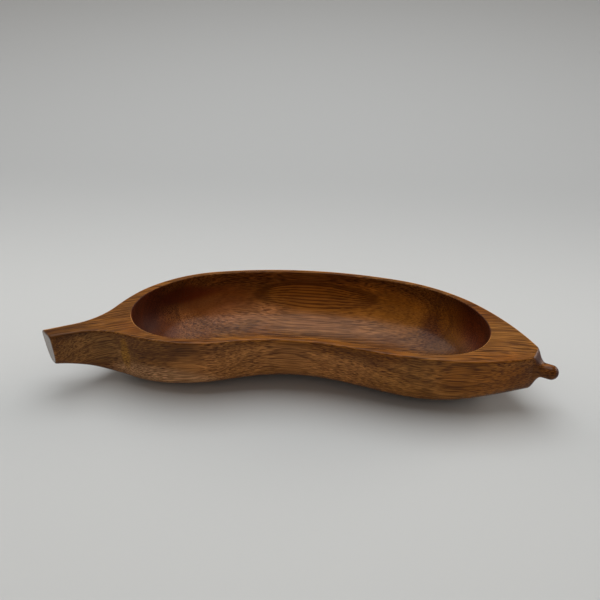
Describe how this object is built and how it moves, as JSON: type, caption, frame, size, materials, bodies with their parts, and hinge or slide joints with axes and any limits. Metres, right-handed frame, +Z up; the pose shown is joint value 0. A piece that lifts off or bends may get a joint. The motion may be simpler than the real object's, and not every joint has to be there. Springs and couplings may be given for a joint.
{
  "type": "banana bowl",
  "caption": "Carved wooden serving bowl in the shape of a banana, with a long rounded hollow, a cut stem and a small round nub.",
  "frame": {"origin": "middle of the bowl's overall outline, on the flat base that it stands on", "axes": "+X along the bowl from the stem to the nub, +Y towards the convex side, +Z up out of the hollow"},
  "size_m": [0.3346, 0.0984, 0.044],
  "materials": {
    "oiled_hardwood": "satin oil over sanded wood"
  },
  "bodies": {
    "root": {"bowl": "oiled_hardwood"}
  },
  "joints": []
}
